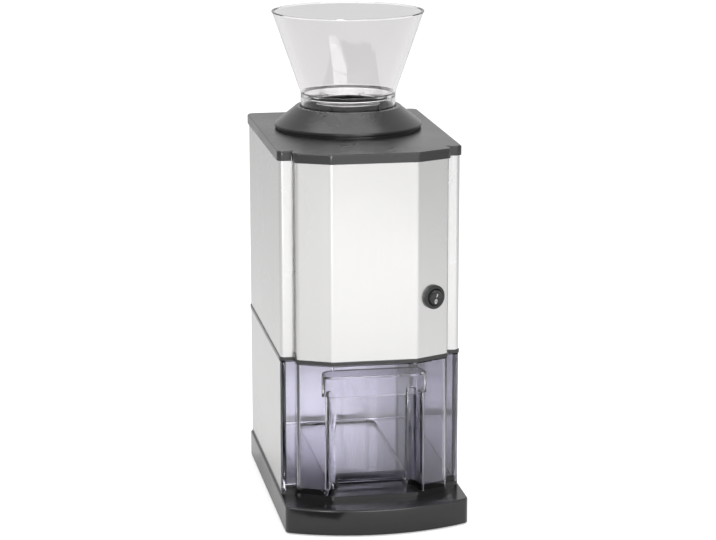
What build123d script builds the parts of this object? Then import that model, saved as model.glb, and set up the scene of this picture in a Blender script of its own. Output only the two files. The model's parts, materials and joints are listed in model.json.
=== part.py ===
from build123d import *
import math
import os

# Electric ice crusher, millimetres. X points right, Y points back, Z points up.
# The origin is on the table, under the middle of the base.

# Base
base_width = 176.0
base_length = 286.0
base_bow = 21.0  # how far the front edge bulges ahead of its corners
base_corner = 8.0
base_rear_corner = 7.6
base_height = 26.0
base_wall = 3.0
base_edge = 1.6
plinth_rise = 4.0
rib_thickness = 2.0
foot_drop = 1.5
foot_radius = 9.0
foot_stem_radius = 3.0
foot_stem = 9.0
foot_inset_x = 20.0
foot_inset_y = 28.0

# Housing, seen from above
body_width = 172.8
body_depth = 249.7
body_rear_inset = 2.0
rear_radius = 6.0
post_radius = 4.0
post_width = 11.4
post_setback = 27.2  # from the middle facet back to the corner posts
post_hem = 8.0
kink_half = 40.9  # half the width of the middle facet
facet_half = 72.5
facet_setback = 14.9
bend_radius = 5.0  # at the two edges of the middle facet
facet_corner = 4.0  # at the outer edges of the side facets
panel_flange = 8.0
sheet = 1.0

# Housing, heights
lower_height = 128.6
deck_thickness = 3.65
deck_overhang = 0.8
upper_height = 195.25
lid_plate = 3.0
lid_rim = 9.3
lid_overhang = 1.6
lid_nose_overhang = 2.2
lid_edge = 1.0
lid_notch_width = 1.8
lid_notch_depth = 3.0
latch_width = 1.8
latch_height = 4.0
latch_drop = 0.4  # from the lid's rim down to the latch slots
latch_places = (-41.0, 107.5)
latch_thickness = 2.0
panel_gap = 0.1
vent_count = 9
vent_width = 3.0
vent_height = 34.0
vent_pitch = 9.0
vent_drop = 40.0  # from the top of the skin to the top of the vents

# Hopper, collar and feed throat
hopper_inset = 98.0  # from the rear face of the body to the hopper's centre
collar_radius = 72.2
collar_undercut = 2.5
collar_gap = 1.2
collar_lip = 4.6
collar_height = 21.5
collar_top_radius = 51.3
collar_seat = 2.5
collar_round = 1.2
hopper_wall = 2.2
neck_radius = 46.6
neck_length = 32.0
neck_fit = 0.4
cone_height = 80.0
rim_radius = 74.5
rim_bead = 0.8
floor_drop = 7.0
floor_thickness = 3.0
hub_wall = 2.2
hub_depth = 14.0
neck_round = 4.0
hub_round = 1.0
hopper_ribs = 6
throat_radius = 28.5
throat_wall = 3.0
throat_rise = 27.5
throat_fit = 0.8
throat_flange = 4.0
throat_round = 1.2
lid_hole_fit = 1.5

# Drawer
drawer_wall = 2.5
drawer_floor_gap = 0.3
drawer_top_gap = 1.1
drawer_side_gap = 2.0
drawer_rear_gap = 11.0
drawer_corner = 10.0
drawer_post_depth = 5.0
grip_front_half = 46.6
grip_rear_half = 41.0
grip_depth = 24.7
grip_corner = 9.0
grip_ledge_drop = 12.5  # from the drawer's top edge down to the ledge
grip_lip = 29.9  # height of the lip that the fingers pull
grip_pocket_extra = 3.4
grip_roll = 12.0
grip_mouth_round = 2.4
tray_half = 40.0
tray_sink = 3.0
tray_corner = 12.0
tray_front_gap = 3.0

# Round rocker switch
switch_along = 17.6  # from the inner kink along the right facet
switch_z = 220.0
switch_turn = 8.0  # degrees clockwise, seen from the front
bezel_radius = 11.5
bezel_height = 3.4
bezel_edge = 1.0
switch_hole = 10.1
switch_fit = 0.2
switch_depth = 17.0
rocker_radius = 7.9
rocker_gap = 0.5
rocker_swing = 9.0  # degrees each side of level
rocker_rise = 1.6  # from the panel up to the rocker's axis
rocker_face = 5.2  # from the panel up to the middle of the rocker's face
trunnion_radius = 1.1
terminal_width = 4.8
terminal_thickness = 0.8
terminal_length = 8.0

# Crushing chamber and rotor
rotor_drop = 57.5  # from the underside of the lid to the rotor's axis
chamber_wall = 3.0
chamber_end_room = 6.5  # from the outer blades to the chamber's sides
chamber_above = 40.0
chamber_below = 38.0
chamber_boss = 12.0
boss_depth = 4.0
corner_pad_depth = 12.0
ear_half = 8.0
ear_thickness = 3.0
blade_count = 4
blade_pitch = 15.0
blade_thickness = 4.0
blade_radius = 24.6
blade_land = 2.0
blade_back = 7.5
blade_gap = 1.4  # from the blades' tips to the comb's bar
blade_hub = 9.0
hex_flats = 10.0
spacer_radius = 8.0
spacer_gap = 0.5
journal_radius = 4.0
bush_wall = 3.0
bush_flange = 2.0
bush_flange_width = 1.5
run_fit = 0.05  # radial clearance of a shaft that turns in a bush
comb_tip_gap = 1.5
comb_bar = 5.0
comb_height = 16.0

# Gear train: equal teeth counts in both stages
pinion_teeth = 14
wheel_teeth = 56
fast_module = 1.0
slow_module = 1.5
pressure_angle = 25.0
backlash = 0.12
fast_width = 7.0
slow_width = 10.0
gear_side_gap = 2.0
final_angle = 201.0  # from the rotor to the idler, degrees, 0 = back
motor_angle = 199.0  # from the idler to the motor
hub_extra = 4.0
idler_pin_radius = 3.0
seat_flats = 6.4
end_journal = 2.9
plate_thickness = 2.5
plate_margin = 5.0
plate_corner = 8.0
foot_flange = 18.0
cover_wall = 2.5
cover_room = 2.0
cover_ear = 5.0
gear_offset = 4.5  # from the plate to the first wheel

# Motor
motor_radius = 31.0
motor_length = 74.0
can_wall = 2.0
can_face = 3.0
magnet_thickness = 4.5
magnet_arc = 130.0
magnet_length = 50.0
air_gap = 1.0
core_length = 38.0
core_slots = 10
slot_width = 2.6
slot_depth = 7.0
winding_bulge = 5.0
winding_radius = 19.0
commutator_radius = 8.0
commutator_length = 10.0
motor_shaft_radius = 2.5
motor_bush_radius = 5.0
motor_bush_length = 7.0
end_cap = 8.0
brush_gap = 0.4
can_fit = 0.1
brush_width = 5.0
cradle_thickness = 2.0
cradle_inset = 8.0
cradle_half = 24.0

# Chute, posts, gland and screws
chute_flare = 14.0
chute_neck = 26.0
chute_slope = 36.0
chute_flange = 8.0
flange_thickness = 3.0
corner_post = 14.0
corner_post_wall = 2.5
corner_post_clearance = 1.9  # from the upright to the drawer's rear wall
screw_radius = 1.9
screw_head = 3.6
screw_head_height = 2.2
screw_bite = 12.0  # how far a screw reaches into an upright
gland_z = 186.0
gland_x = 52.0
gland_radius = 6.0
gland_bore = 3.6
gland_flange = 2.0
gland_length = 12.0
gland_fit = 0.1

# Wires inside the machine room
lead_radius = 1.1
lead_bend = 7.0
lead_spread = 1.5  # from the gland's middle to each wire
lead_hole = 3.0
lead_room = 12.0  # straight run before a wire's end
lead_right_x = 75.0  # runs beside the gear cover, the motor and the chute
lead_left_x = -62.0
lead_rear_gap = 33.0  # from the rear wall
lead_front_gap = 40.7  # from the front panel
lead_low_z = 174.0
motor_tab = 12.0  # from the motor's axis to its tabs, across and down

# Places worked out from the sizes above
base_rear = base_length / 2
base_front = -base_length / 2
rear_y = base_rear - body_rear_inset
front_y = rear_y - body_depth
lead_rear_y = rear_y - lead_rear_gap
lead_front_y = front_y + lead_front_gap
post_y = front_y + post_setback
facet_y = front_y + facet_setback
half_width = body_width / 2
post_inner = half_width - post_width
plinth_z = base_height + plinth_rise
deck_z = plinth_z + lower_height
upper_z = deck_z + deck_thickness
lid_z = upper_z + upper_height
top_z = lid_z + lid_plate
latch_z1 = top_z - lid_rim - latch_drop
latch_z0 = latch_z1 - latch_height
hopper_y = rear_y - hopper_inset
seat_z = top_z + collar_seat
neck_top_z = seat_z + neck_length
rim_z = neck_top_z + cone_height
throat_top_z = top_z + throat_rise
rotor_y = hopper_y
rotor_z = lid_z - rotor_drop
chamber_top = rotor_z + chamber_above
chamber_bottom = rotor_z - chamber_below
chamber_half_x = (blade_count - 1) / 2 * blade_pitch + blade_thickness / 2 + chamber_end_room
chamber_half_y = blade_radius + blade_gap + comb_bar
chamber_outer_x = chamber_half_x + chamber_wall
chamber_outer_y = chamber_half_y + chamber_wall
plate_x = chamber_outer_x
gear_x = plate_x + plate_thickness
fast_x = gear_x + gear_offset
slow_x = fast_x + fast_width + gear_side_gap
cover_x = slow_x + slow_width + gear_side_gap
cover_outer = cover_x + cover_wall
fast_centres = fast_module * (pinion_teeth + wheel_teeth) / 2
slow_centres = slow_module * (pinion_teeth + wheel_teeth) / 2
idler_y = rotor_y + slow_centres * math.cos(math.radians(final_angle))
idler_z = rotor_z + slow_centres * math.sin(math.radians(final_angle))
motor_y = idler_y + fast_centres * math.cos(math.radians(motor_angle))
motor_z = idler_z + fast_centres * math.sin(math.radians(motor_angle))
motor_rear_x = plate_x - motor_length
facet_length = math.hypot(facet_half - kink_half, facet_setback)
facet_cos = (facet_half - kink_half) / facet_length
facet_sin = facet_setback / facet_length
switch_x = kink_half + switch_along * facet_cos
switch_y = front_y + switch_along * facet_sin
switch_cos = math.cos(math.radians(switch_turn))
switch_sin = math.sin(math.radians(switch_turn))
switch_plane = Plane(
    origin=(switch_x, switch_y, switch_z),
    x_dir=(facet_cos * switch_cos, facet_sin * switch_cos, -switch_sin),
    z_dir=(facet_sin, -facet_cos, 0),
)


def box(x0, x1, y0, y1, z0, z1):
    """Box between two corners."""
    centre = Pos((x0 + x1) / 2, (y0 + y1) / 2, (z0 + z1) / 2)
    return centre * Box(x1 - x0, y1 - y0, z1 - z0)


def z_cylinder(x, y, z0, z1, radius):
    return Pos(x, y, (z0 + z1) / 2) * Cylinder(radius, z1 - z0)


def x_cylinder(x0, x1, y, z, radius):
    return Pos((x0 + x1) / 2, y, z) * Rot(0, 90, 0) * Cylinder(radius, x1 - x0)


def y_cylinder(x, y0, y1, z, radius):
    return Pos(x, (y0 + y1) / 2, z) * Rot(90, 0, 0) * Cylinder(radius, y1 - y0)


def both_sides(x0, x1, y, width, z0, z1):
    """Two equal boxes centred on y, one each side of the housing."""
    right = box(x0, x1, y - width / 2, y + width / 2, z0, z1)
    return right + mirror(right, Plane.YZ)


def side_plane(x, y=0.0, z=0.0):
    """Plane square to X: its own x runs along Y and its own y along Z."""
    return Plane(origin=(x, y, z), x_dir=(0, 1, 0), z_dir=(1, 0, 0))


def slab(plan, z0, z1):
    """A plan drawn in X and Y, raised between two heights."""
    return extrude(Pos(0, 0, z0) * plan, z1 - z0)


def polygon(points):
    return make_face(Polyline(*points, close=True))


def turned(profile, x, y, rounds=None):
    """Profile of (radius, height) pairs, turned about a vertical axis.

    rounds gives the radius of each rounded corner by its place in the profile.
    """
    face = polygon(profile)
    for index, radius in (rounds or {}).items():
        corner = face.vertices().sort_by_distance(profile[index])[0]
        face = fillet(corner, radius)
    return Pos(x, y, 0) * revolve(Plane.XZ * face, Axis.Z)


def screw(head_radius, head_height, shank_radius, length):
    """Pan-head screw: the head stands on Z = 0 and the shank hangs below."""
    head = Pos(0, 0, head_height / 2) * Cylinder(head_radius, head_height)
    head = fillet(head.edges().filter_by(GeomType.CIRCLE).sort_by(Axis.Z)[-1], head_height / 2)
    shank = Pos(0, 0, -length / 2) * Cylinder(shank_radius, length)
    return head + shank


def screws(places, length):
    """One group of equal screws; each place is a Location with +Z out of the head."""
    one = screw(screw_head, screw_head_height, screw_radius, length)
    return Compound([place * one for place in places])


def wrap_plan(grow=0.0):
    """Outline of the steel wrap with its corner posts, grown outwards."""
    half = half_width + grow
    front = post_y - grow
    rear = rear_y + grow
    plan = Pos(0, (front + rear) / 2) * Rectangle(2 * half, rear - front)
    corners = plan.vertices().sort_by(Axis.Y)
    plan = fillet(corners[2:], rear_radius + grow)
    corners = plan.vertices().sort_by(Axis.Y)
    return fillet(corners[:2], post_radius + grow)


def nose_plan(grow=0.0):
    """Outline of the faceted front, grown outwards; its back edge is inside the wrap."""
    back = post_y + post_hem
    points = [
        (-facet_half, back),
        (-facet_half, facet_y),
        (-kink_half, front_y),
        (kink_half, front_y),
        (facet_half, facet_y),
        (facet_half, back),
    ]
    plan = polygon(points)
    plan = fillet(plan.vertices().sort_by(Axis.Y)[2:4], facet_corner)
    plan = fillet(plan.vertices().sort_by(Axis.Y)[:2], bend_radius)
    if grow:
        plan = offset(plan, amount=grow, kind=Kind.INTERSECTION)
    return plan


def body_plan(grow=0.0, nose_grow=None):
    """Whole outline of the housing: wrap and faceted front together."""
    nose = grow if nose_grow is None else nose_grow
    return wrap_plan(grow) + nose_plan(nose)


def base_plan(grow=0.0):
    """Outline of the base: straight sides, bowed front edge, rounded corners."""
    half = base_width / 2 + grow
    front = base_front - grow
    shoulder = front + base_bow
    rear = base_rear + grow
    edges = [
        ThreePointArc((-half, shoulder), (0, front), (half, shoulder)),
        Line((half, shoulder), (half, rear)),
        Line((half, rear), (-half, rear)),
        Line((-half, rear), (-half, shoulder)),
    ]
    plan = make_face(edges)
    corners = plan.vertices().sort_by(Axis.Y)
    plan = fillet(corners[2:], base_rear_corner + grow)
    corners = plan.vertices().sort_by(Axis.Y)
    return fillet(corners[:2], base_corner + grow)


foot_x = base_width / 2 - foot_inset_x
foot_places = [
    (side * foot_x, y)
    for side in (-1, 1)
    for y in (base_front + base_bow + foot_inset_y, base_rear - foot_inset_y)
]
corner_post_depth = drawer_rear_gap - panel_gap - corner_post_clearance
corner_post_x = half_width - rear_radius - corner_post / 2
corner_post_y = rear_y - sheet - panel_gap - corner_post_depth / 2


def base_tray():
    """Hollow moulded base with a raised platform that locates the lower skin."""
    tray = slab(base_plan(), foot_drop, base_height)
    rim = tray.edges().group_by(Axis.Z)[-1]
    tray = fillet(rim, base_edge)
    tray += slab(body_plan(), base_height - base_edge, plinth_z)
    hollow = slab(base_plan(-base_wall), foot_drop, base_height - base_wall)
    hollow += slab(body_plan(-base_wall), foot_drop, plinth_z - base_wall)
    for x in (-foot_x, 0, foot_x):
        half_rib = rib_thickness / 2
        hollow -= box(x - half_rib, x + half_rib, base_front, base_rear, foot_drop + 2, plinth_z)
    for y in (foot_places[0][1], (foot_places[0][1] + foot_places[1][1]) / 2, foot_places[1][1]):
        half_rib = rib_thickness / 2
        hollow -= box(-base_width, base_width, y - half_rib, y + half_rib, foot_drop + 2, plinth_z)
    for x, y in foot_places:
        hollow -= z_cylinder(x, y, foot_drop, plinth_z, foot_radius)
    for side in (-1, 1):
        hollow -= z_cylinder(side * corner_post_x, corner_post_y, foot_drop, plinth_z, screw_head + 2)
    tray -= hollow
    for x, y in foot_places:
        tray -= z_cylinder(x, y, 0, foot_drop + foot_stem, foot_stem_radius)
    for side in (-1, 1):
        x = side * corner_post_x
        tray -= z_cylinder(x, corner_post_y, 0, base_height - base_wall, screw_head + panel_gap)
        tray -= z_cylinder(x, corner_post_y, 0, plinth_z + 1, screw_radius)
    return tray


def rubber_feet():
    feet = []
    for x, y in foot_places:
        pad = z_cylinder(x, y, 0, foot_drop, foot_radius)
        pad = chamfer(pad.edges().group_by(Axis.Z)[0], foot_drop / 3)
        feet.append(pad + z_cylinder(x, y, foot_drop, foot_drop + foot_stem, foot_stem_radius))
    return Compound(feet)


def lower_skin():
    """Three-sided steel wrap round the drawer bay."""
    plan = wrap_plan() - wrap_plan(-sheet)
    skin = slab(plan, plinth_z, deck_z)
    open_y = post_y + drawer_post_depth + panel_gap
    return skin - box(-base_width, base_width, front_y, open_y, 0, lid_z)


def corner_post_solid(side):
    """Channel-shaped upright against the bay's rear wall, bored for a screw at each end."""
    x = side * corner_post_x
    half = corner_post / 2
    half_depth = corner_post_depth / 2
    rear = corner_post_y + half_depth
    post = box(x - half, x + half, corner_post_y - half_depth, rear, plinth_z, deck_z)
    post = fillet(post.edges().filter_by(Axis.Z).group_by(Axis.Y)[0], corner_post_wall / 2)
    pocket = box(
        x - half + corner_post_wall,
        x + half - corner_post_wall,
        corner_post_y - half_depth + corner_post_wall,
        rear,
        plinth_z,
        deck_z,
    )
    pocket -= z_cylinder(x, corner_post_y, plinth_z, deck_z, screw_radius + corner_post_wall / 2)
    return post - pocket - z_cylinder(x, corner_post_y, plinth_z - 1, deck_z + 1, screw_radius)


def middle_deck():
    """Deck between the bay and the machine room; its rim is the visible band."""
    deck = slab(body_plan(deck_overhang), deck_z, upper_z)
    deck -= box(-chamber_half_x, chamber_half_x, *chute_mouth(), deck_z - 1, upper_z + 1)
    for side in (-1, 1):
        deck -= z_cylinder(side * corner_post_x, corner_post_y, deck_z - 1, upper_z + 1, screw_radius)
    for x, y in chute_screw_places() + plate_screw_places() + cradle_screw_places():
        deck -= z_cylinder(x, y, deck_z - 1, upper_z + 1, screw_radius)
    return deck


def upper_skin():
    """Steel wrap of the machine room, folded into a post at each front corner."""
    plan = wrap_plan() - wrap_plan(-sheet)
    skin = slab(plan, upper_z, lid_z)
    skin -= box(-post_inner, post_inner, front_y, post_y + post_hem, 0, rim_z)
    for side in (-1, 1):
        inner = side * post_inner
        outer = side * (post_inner + sheet)
        skin += box(min(inner, outer), max(inner, outer), post_y, post_y + post_hem, upper_z, lid_z)
    for y in latch_places:
        skin -= both_sides(half_width - 2 * sheet, half_width + sheet, y, latch_width, latch_z0, latch_z1)
    top = lid_z - vent_drop
    for index in range(vent_count):
        x = (index - (vent_count - 1) / 2) * vent_pitch
        slot = Plane.XZ * (Pos(x, top - vent_height / 2) * SlotOverall(vent_height, vent_width, rotation=90))
        skin -= Pos(0, rear_y + 1, 0) * extrude(slot, 2 * sheet + 2)
    return skin - y_cylinder(gland_x, rear_y - 3 * sheet, rear_y + 1, gland_z, gland_radius + gland_fit)


def front_panel():
    """Faceted sheet with a flange behind each corner post."""
    flange_y = post_y + post_hem
    plan = nose_plan() - nose_plan(-sheet)
    plan -= Pos(0, flange_y) * Rectangle(2 * (facet_half - sheet), 2 * sheet + 0.02)
    for side in (-1, 1):
        outer = facet_half - sheet + panel_flange
        middle = side * (facet_half - sheet + outer) / 2
        plan += Pos(middle, flange_y + sheet / 2) * Rectangle(outer - facet_half + sheet, sheet)
    panel = slab(plan, upper_z, lid_z)
    hole = switch_plane * Cylinder(switch_hole, 4 * sheet)
    return panel - hole


def top_lid():
    """Moulded lid: plate, outer rim over the steel, corner tabs, side hooks, hole for the throat."""
    lid = slab(body_plan(lid_overhang, lid_nose_overhang), top_z - lid_rim, top_z)
    for side in (-1, 1):
        x = side * (post_inner - lid_notch_width / 2)
        front = post_y - lid_overhang
        lid -= box(
            x - lid_notch_width / 2,
            x + lid_notch_width / 2,
            front - 1,
            front + lid_notch_depth - sheet,
            top_z - lid_rim,
            top_z,
        )
    lid = chamfer(lid.edges().group_by(Axis.Z)[-1], lid_edge)
    lid -= slab(body_plan(panel_gap), top_z - lid_rim, lid_z)
    skin_x = half_width - sheet - panel_gap
    for y in latch_places:
        lid += both_sides(skin_x - latch_thickness, skin_x, y, 3 * latch_width, latch_z0, lid_z)
        nose_width = latch_width - 2 * panel_gap
        nose_z = (latch_z0 + panel_gap, latch_z1 - panel_gap)
        lid += both_sides(skin_x, half_width - panel_gap, y, nose_width, *nose_z)
    return lid - z_cylinder(0, hopper_y, 0, rim_z, throat_radius + lid_hole_fit)


def hopper_collar():
    """Conical ring on the lid, undercut at its foot, with a seat for the hopper."""
    bore = neck_radius + neck_fit
    profile = [
        (bore - neck_fit - hopper_wall, top_z),
        (collar_radius - collar_undercut, top_z),
        (collar_radius - collar_undercut, top_z + collar_gap),
        (collar_radius, top_z + collar_gap),
        (collar_radius, top_z + collar_lip),
        (collar_top_radius, top_z + collar_height),
        (bore, top_z + collar_height),
        (bore, seat_z),
        (bore - neck_fit - hopper_wall, seat_z),
    ]
    rounds = {3: collar_round, 4: collar_round, 5: collar_round, 6: collar_round}
    return turned(profile, 0, hopper_y, rounds)


def hopper():
    """Clear funnel: cone, neck, sloping floor, hub round the throat, ribs under the floor."""
    inner_neck = neck_radius - hopper_wall
    hub = throat_radius + throat_fit
    floor_z = neck_top_z - floor_drop
    body = turned(
        [
            (neck_radius, seat_z),
            (neck_radius, neck_top_z),
            (rim_radius - rim_bead, rim_z - 2 * rim_bead),
            (rim_radius, rim_z - rim_bead),
            (rim_radius, rim_z),
            (rim_radius - hopper_wall, rim_z),
            (inner_neck, neck_top_z),
            (hub, floor_z),
            (hub, floor_z - hub_depth),
            (hub + hub_wall, floor_z - hub_depth),
            (hub + hub_wall, floor_z - floor_thickness),
            (inner_neck, neck_top_z - floor_thickness),
            (inner_neck, seat_z),
        ],
        0,
        hopper_y,
        {1: neck_round, 6: neck_round, 7: hub_round, 10: hub_round, 11: hub_round},
    )
    for index in range(hopper_ribs):
        rib = box(
            hub + hub_wall / 2,
            inner_neck + hopper_wall / 2,
            -rib_thickness / 2,
            rib_thickness / 2,
            floor_z - hub_depth,
            floor_z - floor_thickness / 2,
        )
        body += Pos(0, hopper_y, 0) * Rot(0, 0, index * 360 / hopper_ribs) * rib
    return body


def feed_throat():
    """Black tube that carries the ice from the hopper into the chamber."""
    inner = throat_radius - throat_wall
    tube = turned(
        [
            (inner, chamber_top),
            (throat_radius, chamber_top),
            (throat_radius, throat_top_z),
            (inner, throat_top_z),
        ],
        0,
        rotor_y,
        {2: throat_round, 3: throat_round},
    )
    y0 = rotor_y - chamber_outer_y
    y1 = rotor_y + chamber_outer_y
    flange = box(-chamber_outer_x, chamber_outer_x, y0, y1, chamber_top, chamber_top + throat_flange)
    throat = tube + (flange - z_cylinder(0, rotor_y, 0, rim_z, inner))
    for place in chamber_cover_screws():
        x, y, z = place.position
        throat -= z_cylinder(x, y, chamber_top - 1, z + 1, screw_radius)
    return throat


drawer_z = plinth_z + drawer_floor_gap
drawer_top = deck_z - drawer_top_gap
drawer_half = half_width - sheet - drawer_side_gap
drawer_rear = rear_y - sheet - drawer_rear_gap
grip_rear_y = front_y + grip_depth
ledge_z = drawer_top - grip_ledge_drop


def drawer_plan():
    """Outline of the drawer: the housing's front, then a narrower tub behind it."""
    split = post_y + drawer_post_depth
    front = body_plan() - Pos(0, split + base_length / 2) * Rectangle(2 * base_width, base_length)
    tub = Pos(0, (split + drawer_rear) / 2) * Rectangle(2 * drawer_half, drawer_rear - split)
    tub = fillet(tub.vertices().sort_by(Axis.Y)[2:], drawer_corner)
    return front + tub


def grip_plan(grow=0.0, widen=0.0):
    """Outline of the finger recess, open to the front."""
    front_half = grip_front_half + widen
    rear_half = grip_rear_half + widen
    mouth = front_y - grip_corner
    points = [(-front_half, mouth), (front_half, mouth), (rear_half, grip_rear_y), (-rear_half, grip_rear_y)]
    plan = polygon(points)
    plan = fillet(plan.vertices().sort_by(Axis.Y)[2:], grip_corner)
    if grow:
        plan = offset(plan, amount=grow)
    return plan


def grip_roll_space(grow):
    """Room under the rolled lower edge of the recess's rear wall."""
    half = grip_rear_half - grip_corner + grow
    radius = grip_roll + drawer_wall - grow
    y = grip_rear_y + grip_roll + drawer_wall
    z = drawer_z + grip_roll + drawer_wall
    block = box(-half, half, grip_rear_y - 1, y, 0, z)
    return block - x_cylinder(-base_width, base_width, y, z, radius)


def rounded_mouth(outline):
    """The drawer's outline with the finger recess cut in and its two front edges rounded."""
    cut = outline - grip_plan()
    corners = [v for v in cut.vertices() if v.Y < facet_y and abs(v.X) < grip_front_half]
    return fillet(corners, grip_mouth_round)


def drawer():
    """Clear drawer: faceted front with a lip, recess behind the lip, rounded tray."""
    outline = drawer_plan()
    body = slab(outline, drawer_z, drawer_top)
    cavity = slab(offset(outline, amount=-drawer_wall), drawer_z + drawer_wall + tray_sink, drawer_top + 1)
    tray_front = grip_rear_y + drawer_wall + tray_front_gap
    tray_rear = drawer_rear - 2 * drawer_wall
    tray = Pos(0, (tray_front + tray_rear) / 2) * Rectangle(2 * tray_half, tray_rear - tray_front)
    tray = fillet(tray.vertices(), tray_corner)
    sunk = slab(tray, drawer_z + drawer_wall, drawer_z + 2 * drawer_wall + tray_sink)
    sunk = fillet(sunk.edges().group_by(Axis.Z)[0], tray_sink / 2)
    cavity += sunk
    keep = slab(grip_plan(drawer_wall), 0, ledge_z + drawer_wall)
    keep += slab(grip_plan(drawer_wall, grip_pocket_extra), drawer_top - grip_lip, ledge_z + drawer_wall)
    keep += grip_roll_space(drawer_wall)
    body -= cavity - keep
    lip_z = drawer_top - grip_lip
    body -= slab(outline - rounded_mouth(outline), 0, lip_z)
    body -= grip_roll_space(0)
    lip = slab(nose_plan() - nose_plan(-drawer_wall), lip_z, drawer_top)
    pocket = slab(grip_plan(0, grip_pocket_extra), lip_z, ledge_z)
    return body - (pocket - lip)


def switch_body():
    """Round bezel and barrel, recessed for the rocker."""
    bezel = Pos(0, 0, bezel_height / 2) * Cylinder(bezel_radius, bezel_height)
    bezel = fillet(bezel.edges().filter_by(GeomType.CIRCLE).sort_by(Axis.Z)[-1], bezel_edge)
    barrel = Pos(0, 0, -switch_depth / 2) * Cylinder(switch_hole - switch_fit, switch_depth)
    hollow = rocker_radius + rocker_gap
    depth = bezel_height - rocker_rise + hollow
    recess = Pos(0, 0, bezel_height - depth / 2) * Cylinder(hollow, depth)
    return switch_plane * (bezel + barrel - recess - rocker_axle(trunnion_radius + run_fit, 2 * switch_hole))


def rocker_axle(radius, length):
    """Rod along the rocker's own axis, in the switch's frame."""
    return Pos(0, 0, rocker_rise) * Rot(0, 90, 0) * Cylinder(radius, length)


def switch_rocker():
    """Rocker cut from a ball, with a trunnion at each end; at rest its lower half is pressed in."""
    ball = Sphere(rocker_radius)
    middle = rocker_face - rocker_rise
    end = middle + rocker_radius * math.tan(math.radians(rocker_swing))
    back = rocker_radius * 0.45
    side = [
        (-rocker_radius, -back),
        (rocker_radius, -back),
        (rocker_radius, end),
        (0, middle),
        (-rocker_radius, end),
    ]
    prism_plane = Plane(origin=(-rocker_radius, 0, 0), x_dir=(0, 1, 0), z_dir=(1, 0, 0))
    prism = extrude(prism_plane * polygon(side), 2 * rocker_radius)
    rocker = Pos(0, 0, rocker_rise) * Rot(rocker_swing, 0, 0) * (ball & prism)
    return switch_plane * (rocker + rocker_axle(trunnion_radius, 2 * (rocker_radius + 3 * rocker_gap)))


def switch_terminals():
    """Two tabs on the back of the switch."""
    tabs = []
    for offset_y in (-rocker_radius / 2, rocker_radius / 2):
        tab = box(
            -terminal_width / 2,
            terminal_width / 2,
            offset_y - terminal_thickness / 2,
            offset_y + terminal_thickness / 2,
            -switch_depth - terminal_length,
            -switch_depth,
        )
        tabs.append(switch_plane * tab)
    return Compound(tabs)


def chamber_cover_screws():
    """Screws through the throat's flange into the chamber's corners."""
    x = chamber_outer_x - screw_head - 1
    y = chamber_outer_y - screw_head - 1
    z = chamber_top + throat_flange
    return [Location((sx * x, rotor_y + sy * y, z)) for sx in (-1, 1) for sy in (-1, 1)]


def crusher_chamber():
    """Open box round the rotor, with a boss for the left bush and corner pads on top."""
    y0 = rotor_y - chamber_outer_y
    y1 = rotor_y + chamber_outer_y
    body = box(-chamber_outer_x, chamber_outer_x, y0, y1, chamber_bottom, chamber_top)
    body -= box(
        -chamber_half_x,
        chamber_half_x,
        rotor_y - chamber_half_y,
        rotor_y + chamber_half_y,
        chamber_bottom - 1,
        chamber_top + 1,
    )
    body += x_cylinder(-chamber_outer_x - boss_depth, -chamber_half_x, rotor_y, rotor_z, chamber_boss)
    for place in chamber_cover_screws():
        x, y, _ = place.position
        pad = screw_head + 1
        z0 = chamber_top - corner_pad_depth
        body += box(x - pad, x + pad, y - pad, y + pad, z0, chamber_top)
    for x, y in chamber_ear_places():
        y0 = y - chute_flange / 2
        y1 = y + chute_flange / 2
        z1 = chamber_bottom + ear_thickness
        body += box(x - ear_half, x + ear_half, y0, y1, chamber_bottom, z1)
    bush = journal_radius + run_fit + bush_wall
    body -= x_cylinder(-base_width, base_width, rotor_y, rotor_z, bush)
    for place in chamber_cover_screws():
        x, y, _ = place.position
        body -= z_cylinder(x, y, chamber_top - corner_pad_depth + 1, chamber_top + 1, screw_radius)
    for x, y in chamber_ear_places():
        body -= z_cylinder(x, y, chamber_bottom - 1, chamber_bottom + ear_thickness + 1, screw_radius)
    for x in comb_screw_x():
        body -= y_cylinder(x, rotor_y, rotor_y + chamber_outer_y + 1, comb_z(), screw_radius)
    return body


def chamber_ear_places():
    reach = chamber_outer_y + chute_flange / 2
    return [(0, rotor_y - reach), (0, rotor_y + reach)]


def comb_z():
    return rotor_z - comb_height / 2


def comb_screw_x():
    return (-blade_pitch * 1.5, blade_pitch * 1.5)


def fixed_comb():
    """Teeth that stand between the blades, on a bar screwed to the rear wall."""
    wall_y = rotor_y + chamber_half_y
    tip_y = rotor_y + spacer_radius + comb_tip_gap
    top = rotor_z
    low = rotor_z - comb_height
    comb = box(-chamber_half_x, chamber_half_x, wall_y - comb_bar, wall_y, low, top)
    tooth = polygon(
        [
            (wall_y - comb_bar, top),
            (tip_y, top - comb_height * 0.3),
            (tip_y, top - comb_height * 0.55),
            (wall_y - comb_bar, low),
        ]
    )
    for index in range(blade_count + 1):
        x = (index - blade_count / 2) * blade_pitch
        x0 = max(x - blade_thickness / 2, -chamber_half_x)
        x1 = min(x + blade_thickness / 2, chamber_half_x)
        comb += extrude(side_plane(x0) * tooth, x1 - x0)
    for x in comb_screw_x():
        comb -= y_cylinder(x, wall_y - comb_bar - 1, wall_y + 1, comb_z(), screw_radius)
    return comb


def hexagon_rod(x0, x1):
    plan = RegularPolygon(hex_flats / math.sqrt(3), 6)
    return extrude(side_plane(x0, rotor_y, rotor_z) * plan, x1 - x0)


def square_rod(x0, x1):
    return extrude(side_plane(x0, rotor_y, rotor_z) * Rectangle(seat_flats, seat_flats), x1 - x0)


rotor_end = chamber_half_x - spacer_gap
gear_hub_x0 = gear_x + bush_flange + spacer_gap
gear_hub_x1 = cover_x - spacer_gap


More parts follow.
